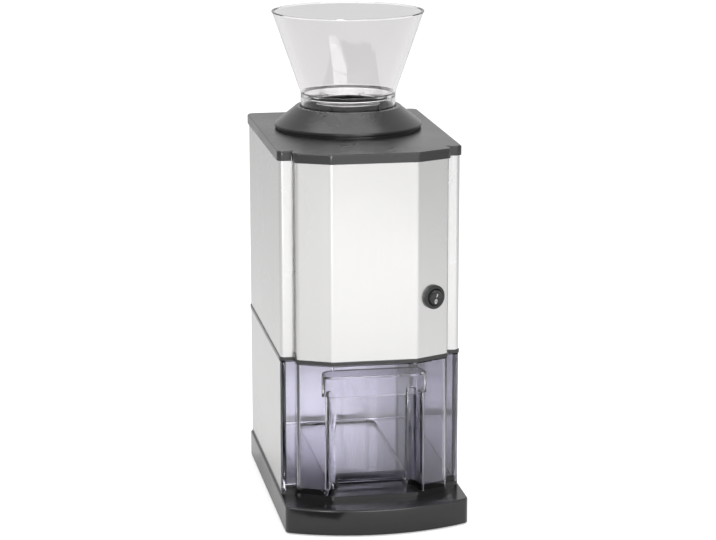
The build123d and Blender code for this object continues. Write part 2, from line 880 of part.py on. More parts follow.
def rotor_shaft():
    """Hexagon through the chamber, round journals in the bushes, square end for the gear."""
    left_end = -chamber_outer_x - boss_depth - bush_flange
    shaft = hexagon_rod(-rotor_end, rotor_end)
    shaft += x_cylinder(left_end, gear_hub_x0, rotor_y, rotor_z, journal_radius)
    shaft += square_rod(gear_hub_x0, gear_hub_x1)
    shaft += x_cylinder(gear_hub_x1, cover_outer - spacer_gap, rotor_y, rotor_z, end_journal)
    return shaft


def crushing_blade(index):
    """Two-ended blade with a straight cutting edge and a swept back."""
    x = (index - (blade_count - 1) / 2) * blade_pitch
    tip = math.sqrt(blade_radius**2 - blade_land**2)
    wing = [
        (blade_hub, 0),
        (tip, blade_land),
        (tip - blade_land, blade_back),
        (blade_hub + blade_land, blade_hub),
        (0, blade_hub),
    ]
    face = Circle(blade_hub) + polygon([(0, 0)] + wing)
    face += Rot(0, 0, 180) * polygon([(0, 0)] + wing)
    face -= RegularPolygon(hex_flats / math.sqrt(3), 6, rotation=-60.0 * index)
    angle = 180.0 * index / blade_count
    face = Rot(0, 0, angle) * face
    blade = extrude(side_plane(x - blade_thickness / 2, rotor_y, rotor_z) * face, blade_thickness)
    return blade - hexagon_rod(-rotor_end, rotor_end)


def rotor_spacer(index):
    """Sleeve between two blades, or between a blade and the chamber's side."""
    blade_x = (index - (blade_count - 1) / 2) * blade_pitch
    x0 = -rotor_end if index == 0 else blade_x - blade_pitch + blade_thickness / 2
    x1 = rotor_end if index == blade_count else blade_x - blade_thickness / 2
    return x_cylinder(x0, x1, rotor_y, rotor_z, spacer_radius) - hexagon_rod(x0, x1)


def rotor_bush(side):
    """Flanged bronze bush; its flange is on the outside."""
    outer_x = gear_x if side > 0 else -chamber_outer_x - boss_depth
    inner_x = side * chamber_half_x
    flange_x = outer_x + side * bush_flange
    bore = journal_radius + run_fit
    body = x_cylinder(min(inner_x, outer_x), max(inner_x, outer_x), rotor_y, rotor_z, bore + bush_wall)
    body += x_cylinder(
        min(flange_x, outer_x),
        max(flange_x, outer_x),
        rotor_y,
        rotor_z,
        bore + bush_wall + bush_flange_width,
    )
    return body - x_cylinder(-base_width, base_width, rotor_y, rotor_z, bore)


def gear_points(teeth, module, phase):
    """Outline of a spur gear with involute flanks; phase is the angle of one tooth."""
    pitch = teeth * module / 2
    base = pitch * math.cos(math.radians(pressure_angle))
    root = pitch - 1.25 * module
    tip = pitch + module
    lean = math.radians(pressure_angle)
    half_pitch_angle = math.pi / teeth / 2 - backlash / 2 / pitch
    half_base_angle = half_pitch_angle + math.tan(lean) - lean
    flank = []
    start = max(base, root)
    for step in range(3):
        radius = start + (tip - start) * step / 2
        roll = math.acos(min(1.0, base / radius))
        flank.append((radius, half_base_angle - (math.tan(roll) - roll)))
    if root < base:
        flank.insert(0, (root, half_base_angle))
    points = []
    for tooth in range(teeth):
        centre = phase + 2 * math.pi * tooth / teeth
        for radius, angle in flank:
            points.append((radius * math.cos(centre - angle), radius * math.sin(centre - angle)))
        for radius, angle in reversed(flank):
            points.append((radius * math.cos(centre + angle), radius * math.sin(centre + angle)))
    return points


def mesh_phase(direction, phase, teeth, other_teeth):
    """Phase of the second gear, so that one of its gaps takes the first gear's tooth."""
    advance = (direction - phase) * teeth
    return direction + math.pi - (math.pi - advance) / other_teeth


def gear_disc(x0, width, y, z, teeth, module, phase):
    face = polygon(gear_points(teeth, module, phase))
    return extrude(side_plane(x0, y, z) * face, width)


slow_direction = math.radians(final_angle)
fast_direction = math.radians(motor_angle)
final_phase = 0.0
idler_small_phase = mesh_phase(slow_direction, final_phase, wheel_teeth, pinion_teeth)
idler_big_phase = 0.0
pinion_phase = mesh_phase(fast_direction, idler_big_phase, wheel_teeth, pinion_teeth)
hub_radius = seat_flats / math.sqrt(2) + hub_extra


def final_gear():
    """Last wheel of the train, with a long hub on the rotor's square end."""
    gear = gear_disc(slow_x, slow_width, rotor_y, rotor_z, wheel_teeth, slow_module, final_phase)
    gear += x_cylinder(gear_hub_x0, gear_hub_x1, rotor_y, rotor_z, hub_radius)
    pitch = wheel_teeth * slow_module / 2
    web_outer = pitch - 4 * slow_module
    recess = slow_width * 0.3
    ring = x_cylinder(slow_x, slow_x + recess, rotor_y, rotor_z, web_outer)
    ring -= x_cylinder(slow_x, slow_x + recess, rotor_y, rotor_z, hub_radius + 2)
    gear -= ring
    gear -= Pos(slow_width - recess, 0, 0) * ring
    return gear - square_rod(gear_hub_x0 - 1, gear_hub_x1 + 1)


def idler_gear():
    """Two wheels in one piece, turning on the fixed pin."""
    gear = gear_disc(fast_x, fast_width, idler_y, idler_z, wheel_teeth, fast_module, idler_big_phase)
    small_x = fast_x + fast_width
    width = slow_x + slow_width - small_x
    gear += gear_disc(small_x, width, idler_y, idler_z, pinion_teeth, slow_module, idler_small_phase)
    gear += x_cylinder(gear_hub_x0, fast_x, idler_y, idler_z, idler_pin_radius + hub_extra)
    gear += x_cylinder(slow_x + slow_width, gear_hub_x1, idler_y, idler_z, idler_pin_radius + hub_extra / 2)
    return gear - x_cylinder(0, base_width, idler_y, idler_z, idler_pin_radius + run_fit)


def idler_pin():
    pin = x_cylinder(plate_x, cover_outer, idler_y, idler_z, idler_pin_radius)
    return chamfer(pin.edges().filter_by(GeomType.CIRCLE), 0.4)


def motor_pinion():
    disc = gear_disc(fast_x, fast_width, motor_y, motor_z, pinion_teeth, fast_module, pinion_phase)
    return disc - x_cylinder(0, base_width, motor_y, motor_z, motor_shaft_radius)


def hull_in_side_plane(x, circles):
    """Tight outline round some circles in Y and Z, given as (y, z, radius)."""
    edges = []
    for y, z, radius in circles:
        edges += (Pos(y, z) * Circle(radius)).edges()
    return side_plane(x) * make_hull(edges)


def train_circles(room):
    """Circles that the gears sweep, with some room round them."""
    return [
        (rotor_y, rotor_z, (wheel_teeth / 2 + 1) * slow_module + room),
        (idler_y, idler_z, (wheel_teeth / 2 + 1) * fast_module + room),
        (motor_y, motor_z, (pinion_teeth / 2 + 1) * fast_module + room),
    ]


def cover_ear_places():
    """Screw ears round the gear cover, as (y, z)."""
    room = cover_room + cover_wall + screw_head + panel_gap
    places = []
    for (y, z, radius), angles in zip(train_circles(room), ((65, -40), (-80,), (150,))):
        for angle in angles:
            turn = math.radians(angle)
            places.append((y + radius * math.cos(turn), z + radius * math.sin(turn)))
    return places


def gear_cover():
    """Closed tray over the gear train, with the rotor's outer bearing."""
    outer = extrude(hull_in_side_plane(gear_x, train_circles(cover_room + cover_wall)), cover_outer - gear_x)
    outer = chamfer(outer.edges().group_by(Axis.X)[-1], cover_wall / 2)
    inner = extrude(hull_in_side_plane(gear_x, train_circles(cover_room)), cover_x - gear_x)
    cover = outer - inner
    for y, z in cover_ear_places():
        ear = x_cylinder(gear_x, gear_x + cover_wall, y, z, cover_ear)
        cover += ear - inner
    for y, z in cover_ear_places():
        cover -= x_cylinder(gear_x - 1, gear_x + cover_wall + 1, y, z, screw_radius)
    cover -= x_cylinder(cover_x - 1, cover_outer + 1, rotor_y, rotor_z, end_journal + run_fit)
    return cover - x_cylinder(cover_x - 1, cover_outer + 1, idler_y, idler_z, idler_pin_radius)


plate_y0 = motor_y - motor_radius - plate_margin
plate_y1 = rotor_y + (wheel_teeth / 2 + 1) * slow_module + 2 * cover_ear + plate_margin
plate_z1 = rotor_z + (wheel_teeth / 2 + 1) * slow_module + cover_room + plate_margin


def motor_screw_places():
    """Screws through the plate into the motor's face, as (y, z)."""
    reach = motor_radius * 0.62
    places = []
    for angle in (0, 135, 225):
        turn = math.radians(motor_angle + angle)
        places.append((motor_y + reach * math.cos(turn), motor_z + reach * math.sin(turn)))
    return places


def plate_screw_places():
    x = plate_x + foot_flange * 0.6
    return [(x, plate_y0 + 3 * plate_margin), (x, plate_y1 - 3 * plate_margin)]


def gearbox_plate():
    """Upright plate that carries the motor, the idler pin and the right rotor bush."""
    face = Rectangle(plate_y1 - plate_y0, plate_z1 - upper_z)
    face = fillet(face.vertices().sort_by(Axis.Y)[2:], plate_corner)
    face = Pos((plate_y0 + plate_y1) / 2, (upper_z + plate_z1) / 2) * face
    face -= Pos(rotor_y, rotor_z) * Circle(journal_radius + run_fit + bush_wall)
    face -= Pos(idler_y, idler_z) * Circle(idler_pin_radius)
    face -= Pos(motor_y, motor_z) * Circle(motor_bush_radius + 3)
    for y, z in motor_screw_places() + cover_ear_places():
        face -= Pos(y, z) * Circle(screw_radius)
    face -= Pos(lead_front_y, switch_z - rocker_radius / 2) * Circle(lead_hole)
    plate = extrude(side_plane(plate_x) * face, plate_thickness)
    foot = box(plate_x, plate_x + foot_flange, plate_y0, plate_y1, upper_z, upper_z + plate_thickness)
    plate += foot
    for x, y in plate_screw_places():
        plate -= z_cylinder(x, y, upper_z - 1, upper_z + plate_thickness + 1, screw_radius)
    return plate


def motor_can():
    """Steel can with a closed face towards the gearbox."""
    can = x_cylinder(motor_rear_x, plate_x, motor_y, motor_z, motor_radius)
    can -= x_cylinder(motor_rear_x - 1, plate_x - can_face, motor_y, motor_z, motor_radius - can_wall)
    can -= x_cylinder(plate_x - can_face - 1, plate_x + 1, motor_y, motor_z, motor_bush_radius)
    for y, z in motor_screw_places():
        can -= x_cylinder(plate_x - can_face - 1, plate_x + 1, y, z, screw_radius)
    return can


magnet_radius = motor_radius - can_wall
core_radius = magnet_radius - magnet_thickness - air_gap
core_x = plate_x - can_face - motor_bush_length - winding_bulge - core_length


def motor_magnets():
    """Two curved magnets against the inside of the can."""
    ring = x_cylinder(core_x - 6, core_x - 6 + magnet_length, motor_y, motor_z, magnet_radius)
    bore = magnet_radius - magnet_thickness
    ring -= x_cylinder(core_x - 7, core_x - 5 + magnet_length, motor_y, motor_z, bore)
    half = math.radians(magnet_arc / 2)
    far_y = 2 * motor_radius * math.cos(half)
    far_z = 2 * motor_radius * math.sin(half)
    points = [(0, 0), (far_y, far_z), (far_y, -far_z)]
    magnets = []
    for turn in (0, 180):
        wedge = side_plane(core_x - 8, motor_y, motor_z) * (Rot(0, 0, turn) * polygon(points))
        magnets.append(ring & extrude(wedge, magnet_length + 4))
    return Compound([magnet.solid() for magnet in magnets])


def armature_core():
    """Laminated core with winding slots."""
    face = Circle(core_radius) - Circle(motor_shaft_radius)
    for index in range(core_slots):
        slot = Pos(core_radius - slot_depth / 2) * Rectangle(slot_depth + 2, slot_width)
        face -= Rot(0, 0, index * 360 / core_slots) * slot
    return extrude(side_plane(core_x, motor_y, motor_z) * face, core_length)


def armature_winding():
    """Copper in the slots, with a bulge at each end of the core."""
    winding = x_cylinder(core_x - winding_bulge, core_x, motor_y, motor_z, winding_radius)
    end = core_x + core_length
    winding += x_cylinder(end, end + winding_bulge, motor_y, motor_z, winding_radius)
    for index in range(core_slots):
        bar = Pos(core_radius - slot_depth / 2 - 1) * Rectangle(slot_depth - 1, slot_width)
        bar = Rot(0, 0, index * 360 / core_slots) * bar
        winding += extrude(side_plane(core_x - 1, motor_y, motor_z) * bar, core_length + 2)
    return winding - x_cylinder(-base_width, base_width, motor_y, motor_z, motor_shaft_radius)


commutator_x = core_x - winding_bulge - commutator_length


def commutator():
    body = x_cylinder(commutator_x, core_x - winding_bulge, motor_y, motor_z, commutator_radius)
    return body - x_cylinder(-base_width, base_width, motor_y, motor_z, motor_shaft_radius)


def motor_shaft():
    end_x = fast_x + fast_width + spacer_gap
    shaft = x_cylinder(motor_rear_x - end_cap / 2, end_x, motor_y, motor_z, motor_shaft_radius)
    return chamfer(shaft.edges().filter_by(GeomType.CIRCLE), 0.4)


def motor_bush(front):
    """Plain sleeve that carries one end of the motor shaft."""
    if front:
        x0 = plate_x - motor_bush_length
        x1 = plate_x
    else:
        x0 = motor_rear_x - end_cap / 2
        x1 = x0 + end_cap / 2 + 1
    bush = x_cylinder(x0, x1, motor_y, motor_z, motor_bush_radius)
    return bush - x_cylinder(-base_width, base_width, motor_y, motor_z, motor_shaft_radius + run_fit)


def motor_end_cap():
    """Moulded cap with the rear bush seat and two brush boxes."""
    cap = x_cylinder(motor_rear_x - end_cap, motor_rear_x, motor_y, motor_z, motor_radius)
    cap = fillet(cap.edges().filter_by(GeomType.CIRCLE).sort_by(Axis.X)[0], 2.0)
    spigot = x_cylinder(motor_rear_x, motor_rear_x + 2, motor_y, motor_z, magnet_radius - can_fit)
    spigot -= x_cylinder(motor_rear_x, motor_rear_x + 2, motor_y, motor_z, magnet_radius - 2)
    cap += spigot
    for y0, y1 in brush_spans():
        cap += box(motor_rear_x, commutator_x + commutator_length, y0, y1, motor_z - 4.5, motor_z + 4.5)
        cap -= box(
            commutator_x + 1,
            commutator_x + 1 + brush_width,
            y0 - 1,
            y1 + 1,
            motor_z - brush_width / 2,
            motor_z + brush_width / 2,
        )
    seat_x = motor_rear_x - end_cap / 2
    return cap - x_cylinder(seat_x, motor_rear_x + 3, motor_y, motor_z, motor_bush_radius)


def brush_spans():
    """Y spans of the two brush boxes, either side of the commutator."""
    near = commutator_radius + brush_gap + 1
    far = magnet_radius - magnet_thickness - 2
    return [(motor_y - far, motor_y - near), (motor_y + near, motor_y + far)]


def motor_brushes():
    brushes = []
    near = commutator_radius + brush_gap
    far = magnet_radius - magnet_thickness - 4
    for side in (-1, 1):
        y0 = motor_y + min(side * near, side * far)
        y1 = motor_y + max(side * near, side * far)
        brush = box(
            commutator_x + 1,
            commutator_x + 1 + brush_width,
            y0,
            y1,
            motor_z - brush_width / 2,
            motor_z + brush_width / 2,
        )
        brushes.append(brush)
    return Compound(brushes)


cradle_x = motor_rear_x + cradle_inset


def cradle_screw_places():
    x = cradle_x - foot_flange * 0.4
    return [(x, motor_y - cradle_half * 0.6), (x, motor_y + cradle_half * 0.6)]


def motor_cradle():
    """Folded bracket with a round saddle under the motor's rear end."""
    y0 = motor_y - cradle_half
    y1 = motor_y + cradle_half
    cradle = box(cradle_x, cradle_x + cradle_thickness, y0, y1, upper_z, motor_z)
    saddle = motor_radius + can_fit
    cradle -= x_cylinder(cradle_x - 1, cradle_x + cradle_thickness + 1, motor_y, motor_z, saddle)
    left = cradle_x - foot_flange * 0.8
    cradle += box(left, cradle_x + cradle_thickness, y0, y1, upper_z, upper_z + cradle_thickness)
    for x, y in cradle_screw_places():
        cradle -= z_cylinder(x, y, upper_z - 1, upper_z + cradle_thickness + 1, screw_radius)
    return cradle


def chute_mouth():
    """Front and rear edge of the chute's opening in the deck."""
    return rotor_y - chamber_half_y - chute_flare, rotor_y + chamber_half_y


def chute_screw_places():
    y0, y1 = chute_mouth()
    front = y0 - chamber_wall - chute_flange / 2
    rear = y1 + chamber_wall + chute_flange / 2
    x = chamber_half_x * 0.7
    return [(-x, front), (x, front), (-x, rear), (x, rear)]


def ice_chute():
    """Duct from the chamber to the deck, flared towards the drawer's middle."""
    y0, y1 = chute_mouth()
    neck_z = chamber_bottom - chute_neck
    flare_z = neck_z - chute_slope

    def side(grow):
        return polygon(
            [
                (rotor_y - chamber_half_y - grow, chamber_bottom),
                (rotor_y - chamber_half_y - grow, neck_z),
                (y0 - grow, flare_z),
                (y0 - grow, upper_z),
                (y1 + grow, upper_z),
                (y1 + grow, chamber_bottom),
            ]
        )

    outer = extrude(side_plane(-chamber_outer_x) * side(chamber_wall), 2 * chamber_outer_x)
    inner = extrude(side_plane(-chamber_half_x) * side(0), 2 * chamber_half_x)
    foot_y0 = y0 - chamber_wall - chute_flange
    foot_y1 = y1 + chamber_wall + chute_flange
    outer += box(-chamber_outer_x, chamber_outer_x, foot_y0, foot_y1, upper_z, upper_z + flange_thickness)
    for x, y in chamber_ear_places():
        ear_y0 = y - chute_flange / 2
        ear_y1 = y + chute_flange / 2
        ear_z = chamber_bottom - flange_thickness
        outer += box(x - ear_half, x + ear_half, ear_y0, ear_y1, ear_z, chamber_bottom)
    chute = outer - inner
    for x, y in chute_screw_places():
        chute -= z_cylinder(x, y, upper_z - 1, upper_z + flange_thickness + 1, screw_radius)
    for x, y in chamber_ear_places():
        chute -= z_cylinder(x, y, chamber_bottom - flange_thickness - 1, chamber_bottom + 1, screw_radius)
    return chute


def cord_gland():
    """Snap-in bush for the supply cord, flush with the base's rear edge."""
    gland = y_cylinder(gland_x, rear_y - gland_length, rear_y, gland_z, gland_radius)
    gland += y_cylinder(gland_x, rear_y, rear_y + gland_flange, gland_z, gland_radius + 2)
    return gland - y_cylinder(gland_x, rear_y - gland_length - 1, base_rear + 1, gland_z, gland_bore)


def lead(points):
    """One insulated wire along some points, rounded at each bend."""
    path = FilletPolyline(*points, radius=lead_bend)
    return sweep(Plane(origin=path @ 0, z_dir=path % 0) * Circle(lead_radius), path)


def behind_switch(across, room):
    """Point behind one of the switch's tabs, some room from its end."""
    place = Location(switch_plane) * Pos(0, across, -switch_depth - terminal_length - room)
    return tuple(place.position)


def lead_wires():
    """Supply to switch, switch to motor, and supply to motor."""
    gland_y = rear_y - gland_length
    tab = rocker_radius / 2
    tab_z = switch_z + tab
    feed_x = gland_x + lead_spread
    feed = [
        (feed_x, gland_y + gland_bore, gland_z),
        (feed_x, gland_y - lead_room, gland_z),
        (lead_right_x, gland_y - 3 * lead_room, gland_z + lead_room),
        (lead_right_x, 0, tab_z),
        (lead_right_x - lead_room, lead_front_y + lead_room, tab_z),
        behind_switch(tab, lead_room),
        behind_switch(tab, 0),
    ]
    motor_x = motor_rear_x - end_cap
    low_z = motor_z - motor_tab
    front_y0 = motor_y - motor_tab
    switched = [
        behind_switch(-tab, 0),
        behind_switch(-tab, lead_room),
        (switch_depth, lead_front_y, switch_z - tab),
        (lead_left_x + lead_room, lead_front_y, switch_z - tab),
        (lead_left_x, lead_front_y + lead_room, switch_z + lead_room),
        (lead_left_x, front_y0, low_z),
        (motor_x, front_y0, low_z),
    ]
    back_x = gland_x - lead_spread
    rear_y0 = motor_y + motor_tab
    back = [
        (back_x, gland_y + gland_bore, gland_z),
        (back_x, gland_y - lead_room, gland_z),
        (back_x - lead_room, lead_rear_y, lead_low_z),
        (lead_left_x + lead_room, lead_rear_y, lead_low_z),
        (lead_left_x, lead_rear_y - lead_room, lead_low_z),
        (lead_left_x, rear_y0 + lead_room, lead_low_z),
        (lead_left_x, rear_y0, lead_low_z + lead_room),
        (lead_left_x, rear_y0, low_z),
        (motor_x, rear_y0, low_z),
    ]
    return Compound([lead(feed), lead(switched), lead(back)])


def screw_groups():
    """Every group of screws, by node name."""
    down = Rot(180, 0, 0)
    comb_y = rotor_y + chamber_outer_y
    corner = [(side * corner_post_x, corner_post_y) for side in (-1, 1)]
    base = [Pos(x, y, base_height - base_wall) * down for x, y in corner]
    deck = [Pos(x, y, upper_z) for x, y in corner]
    chute = [Pos(x, y, upper_z + flange_thickness) for x, y in chute_screw_places()]
    plate = [Pos(x, y, upper_z + plate_thickness) for x, y in plate_screw_places()]
    cradle = [Pos(x, y, upper_z + cradle_thickness) for x, y in cradle_screw_places()]
    ears = [Pos(x, y, chamber_bottom + ear_thickness) for x, y in chamber_ear_places()]
    throat = [Pos(*place.position) for place in chamber_cover_screws()]
    comb = [Pos(x, comb_y, comb_z()) * Rot(-90, 0, 0) for x in comb_screw_x()]
    motor = [Pos(gear_x, y, z) * Rot(0, 90, 0) for y, z in motor_screw_places()]
    cover = [Pos(gear_x + cover_wall, y, z) * Rot(0, 90, 0) for y, z in cover_ear_places()]
    return {
        "base_screws": screws(base, base_wall + plinth_rise + screw_bite),
        "deck_screws": screws(deck, deck_thickness + screw_bite),
        "chute_screws": screws(chute, flange_thickness + deck_thickness),
        "plate_screws": screws(plate, plate_thickness + deck_thickness),
        "cradle_screws": screws(cradle, cradle_thickness + deck_thickness),
        "chamber_screws": screws(ears, ear_thickness + flange_thickness),
        "throat_screws": screws(throat, throat_flange + corner_pad_depth - 2),
        "comb_screws": screws(comb, chamber_wall + comb_bar),
        "motor_screws": screws(motor, plate_thickness + can_face),
        "cover_screws": screws(cover, cover_wall + plate_thickness),
    }


def build():
    """All sub-parts by node name."""
    parts = {
        "base_tray": base_tray(),
        "rubber_feet": rubber_feet(),
        "lower_skin": lower_skin(),
        "rear_post_left": corner_post_solid(-1),
        "rear_post_right": corner_post_solid(1),
        "middle_deck": middle_deck(),
        "upper_skin": upper_skin(),
        "front_panel": front_panel(),
        "top_lid": top_lid(),
        "hopper_collar": hopper_collar(),
        "hopper": hopper(),
        "feed_throat": feed_throat(),
        "drawer": drawer(),
        "switch_body": switch_body(),
        "switch_rocker": switch_rocker(),
        "switch_terminals": switch_terminals(),
        "crusher_chamber": crusher_chamber(),
        "fixed_comb": fixed_comb(),
        "rotor_shaft": rotor_shaft(),
        "rotor_bush_left": rotor_bush(-1),
        "rotor_bush_right": rotor_bush(1),
        "final_gear": final_gear(),
        "idler_gear": idler_gear(),
        "idler_pin": idler_pin(),
        "motor_pinion": motor_pinion(),
        "gear_cover": gear_cover(),
        "gearbox_plate": gearbox_plate(),
        "motor_can": motor_can(),
        "motor_end_cap": motor_end_cap(),
        "motor_magnets": motor_magnets(),
        "motor_shaft": motor_shaft(),
        "armature_core": armature_core(),
        "armature_winding": armature_winding(),
        "commutator": commutator(),
        "motor_bush_front": motor_bush(True),
        "motor_bush_rear": motor_bush(False),
        "motor_brushes": motor_brushes(),
        "motor_cradle": motor_cradle(),
        "ice_chute": ice_chute(),
        "cord_gland": cord_gland(),
        "lead_wires": lead_wires(),
    }
    for index in range(blade_count):
        parts[f"crushing_blade_{index + 1}"] = crushing_blade(index)
    for index in range(blade_count + 1):
        parts[f"rotor_spacer_{index + 1}"] = rotor_spacer(index)
    parts.update(screw_groups())
    return parts


os.makedirs("parts", exist_ok=True)
for name, shape in build().items():
    export_step(shape, f"parts/{name}.step")
    print(name, round(shape.volume, 1))
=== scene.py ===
import json
import math
import bmesh
import bpy
from mathutils import Matrix, Vector


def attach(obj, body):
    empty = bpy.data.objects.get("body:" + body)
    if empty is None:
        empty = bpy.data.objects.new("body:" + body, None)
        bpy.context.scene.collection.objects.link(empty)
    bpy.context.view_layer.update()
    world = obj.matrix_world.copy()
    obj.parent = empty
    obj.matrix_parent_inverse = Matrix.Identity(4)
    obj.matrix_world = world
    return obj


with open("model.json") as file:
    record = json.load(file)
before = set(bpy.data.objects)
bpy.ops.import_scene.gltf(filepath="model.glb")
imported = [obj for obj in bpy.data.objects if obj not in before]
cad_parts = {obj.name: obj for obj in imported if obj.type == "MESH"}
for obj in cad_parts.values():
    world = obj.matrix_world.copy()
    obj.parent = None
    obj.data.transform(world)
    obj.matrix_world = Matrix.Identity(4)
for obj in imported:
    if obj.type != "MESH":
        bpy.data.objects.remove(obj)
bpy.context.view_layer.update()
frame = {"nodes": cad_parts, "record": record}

nodes = frame["nodes"]
print("frame loaded:", len(nodes), "nodes")


def addObject(name, data):
    thing = bpy.data.objects.new(name, data)
    bpy.context.scene.collection.objects.link(thing)
    return thing


def dress(piece, material):
    piece.data.materials.clear()
    piece.data.materials.append(material)


# shader helpers
def addNode(tree, kind, place, **settings):
    node = tree.nodes.new(kind)
    node.location = place
    for key, value in settings.items():
        setattr(node, key, value)
    return node


def setInputs(node, **values):
    for key, value in values.items():
        node.inputs[key.replace("_", " ")].default_value = value
    return node


def newGroup(name, inputs, outputs):
    group = bpy.data.node_groups.new(name, "ShaderNodeTree")
    for label, value in inputs.items():
        socket = group.interface.new_socket(label, in_out="INPUT", socket_type="NodeSocketFloat")
        socket.default_value = value
    for label in outputs:
        group.interface.new_socket(label, in_out="OUTPUT", socket_type="NodeSocketFloat")
    entry = addNode(group, "NodeGroupInput", (-900, 0))
    leave = addNode(group, "NodeGroupOutput", (500, 0))
    return group, entry, leave


def makeBrushGroup():
    group, entry, leave = newGroup(
        "brushLines", {"Across": 1400.0, "Along": 14.0, "Patch": 9.0}, ("Line", "Patch"))
    place = addNode(group, "ShaderNodeTexCoord", (-900, 300))
    stretch = addNode(group, "ShaderNodeCombineXYZ", (-700, 0))
    scaled = addNode(group, "ShaderNodeVectorMath", (-500, 100), operation="MULTIPLY")
    fine = addNode(group, "ShaderNodeTexNoise", (-300, 100))
    setInputs(fine, Scale=1.0, Detail=3.0, Roughness=0.65)
    wide = addNode(group, "ShaderNodeTexNoise", (-300, 400))
    setInputs(wide, Detail=2.0, Roughness=0.5)
    link = group.links.new
    link(entry.outputs["Across"], stretch.inputs["X"])
    link(entry.outputs["Across"], stretch.inputs["Y"])
    link(entry.outputs["Along"], stretch.inputs["Z"])
    link(place.outputs["Object"], scaled.inputs[0])
    link(stretch.outputs["Vector"], scaled.inputs[1])
    link(scaled.outputs["Vector"], fine.inputs["Vector"])
    link(place.outputs["Object"], wide.inputs["Vector"])
    link(entry.outputs["Patch"], wide.inputs["Scale"])
    link(fine.outputs["Fac"], leave.inputs["Line"])
    link(wide.outputs["Fac"], leave.inputs["Patch"])
    return group


def makeSkinGroup():
    group, entry, leave = newGroup(
        "mouldedSkin", {"Grain Scale": 1800.0, "Smudge Scale": 16.0}, ("Grain", "Smudge"))
    place = addNode(group, "ShaderNodeTexCoord", (-900, 300))
    grain = addNode(group, "ShaderNodeTexNoise", (-300, 100))
    setInputs(grain, Detail=4.0, Roughness=0.6)
    smudge = addNode(group, "ShaderNodeTexNoise", (-300, 400))
    setInputs(smudge, Detail=3.0, Roughness=0.55, Distortion=0.4)
    link = group.links.new
    link(place.outputs["Object"], grain.inputs["Vector"])
    link(place.outputs["Object"], smudge.inputs["Vector"])
    link(entry.outputs["Grain Scale"], grain.inputs["Scale"])
    link(entry.outputs["Smudge Scale"], smudge.inputs["Scale"])
    link(grain.outputs["Fac"], leave.inputs["Grain"])
    link(smudge.outputs["Fac"], leave.inputs["Smudge"])
    return group


def makeInsideGroup():  # marks the faces that look towards the housing's upright middle line
    group, entry, leave = newGroup("insideFaces", {"Middle Y": 0.03}, ("Inside",))
    here = addNode(group, "ShaderNodeNewGeometry", (-900, 300))
    middle = addNode(group, "ShaderNodeCombineXYZ", (-700, 0))
    outward = addNode(group, "ShaderNodeVectorMath", (-500, 200), operation="SUBTRACT")
    flat = addNode(group, "ShaderNodeVectorMath", (-300, 200), operation="MULTIPLY")
    flat.inputs[1].default_value = (1.0, 1.0, 0.0)
    facing = addNode(group, "ShaderNodeVectorMath", (-100, 200), operation="DOT_PRODUCT")
    inside = addNode(group, "ShaderNodeMath", (150, 200), operation="LESS_THAN")
    inside.inputs[1].default_value = 0.0
    link = group.links.new
    link(entry.outputs["Middle Y"], middle.inputs["Y"])
    link(here.outputs["Position"], outward.inputs[0])
    link(middle.outputs["Vector"], outward.inputs[1])
    link(outward.outputs["Vector"], flat.inputs[0])
    link(flat.outputs["Vector"], facing.inputs[0])
    link(here.outputs["True Normal"], facing.inputs[1])
    link(facing.outputs["Value"], inside.inputs[0])
    link(inside.outputs["Value"], leave.inputs["Inside"])
    return group


brushLines = makeBrushGroup()
mouldedSkin = makeSkinGroup()
insideFaces = makeInsideGroup()


noiseRange = (0.3, 0.7)  # where most values of a noise lie
smudgeTint = {"plastic": (0.82, 1.12), "clear": (0.97, 1.0)}  # darkest and lightest share of the colour


def newMaterial(name):
    material = bpy.data.materials.new(name)
    material.use_nodes = True
    tree = material.node_tree
    tree.nodes.clear()
    surface = addNode(tree, "ShaderNodeBsdfPrincipled", (300, 0))
    output = addNode(tree, "ShaderNodeOutputMaterial", (600, 0))
    tree.links.new(surface.outputs["BSDF"], output.inputs["Surface"])
    return material, tree, surface


def groupNode(tree, group, place, **values):
    node = addNode(tree, "ShaderNodeGroup", place, node_tree=group)
    return setInputs(node, **values)


def spread(tree, source, low, high, place):
    node = addNode(tree, "ShaderNodeMapRange", place)
    setInputs(node, From_Min=noiseRange[0], From_Max=noiseRange[1], To_Min=low, To_Max=high)
    tree.links.new(source, node.inputs["Value"])
    return node.outputs["Result"]


def tint(tree, source, dark, light, place):
    node = addNode(tree, "ShaderNodeMix", place, data_type="RGBA")
    node.inputs["A"].default_value = (*dark, 1.0)
    node.inputs["B"].default_value = (*light, 1.0)
    tree.links.new(source, node.inputs["Factor"])
    return node.outputs["Result"]


def blend(tree, mask, color, other, place):
    node = addNode(tree, "ShaderNodeMix", place, data_type="RGBA")
    node.inputs["B"].default_value = (*other, 1.0)
    tree.links.new(mask, node.inputs["Factor"])
    tree.links.new(color, node.inputs["A"])
    return node.outputs["Result"]


def blendValue(tree, mask, value, other, place):
    node = addNode(tree, "ShaderNodeMix", place, data_type="FLOAT")
    node.inputs["B"].default_value = other
    tree.links.new(mask, node.inputs["Factor"])
    tree.links.new(value, node.inputs["A"])
    return node.outputs["Result"]


def bump(tree, source, height, place):
    node = addNode(tree, "ShaderNodeBump", place)
    setInputs(node, Strength=1.0, Distance=height)
    tree.links.new(source, node.inputs["Height"])
    return node.outputs["Normal"]


def shade(color, factor):
    return tuple(channel * factor for channel in color)


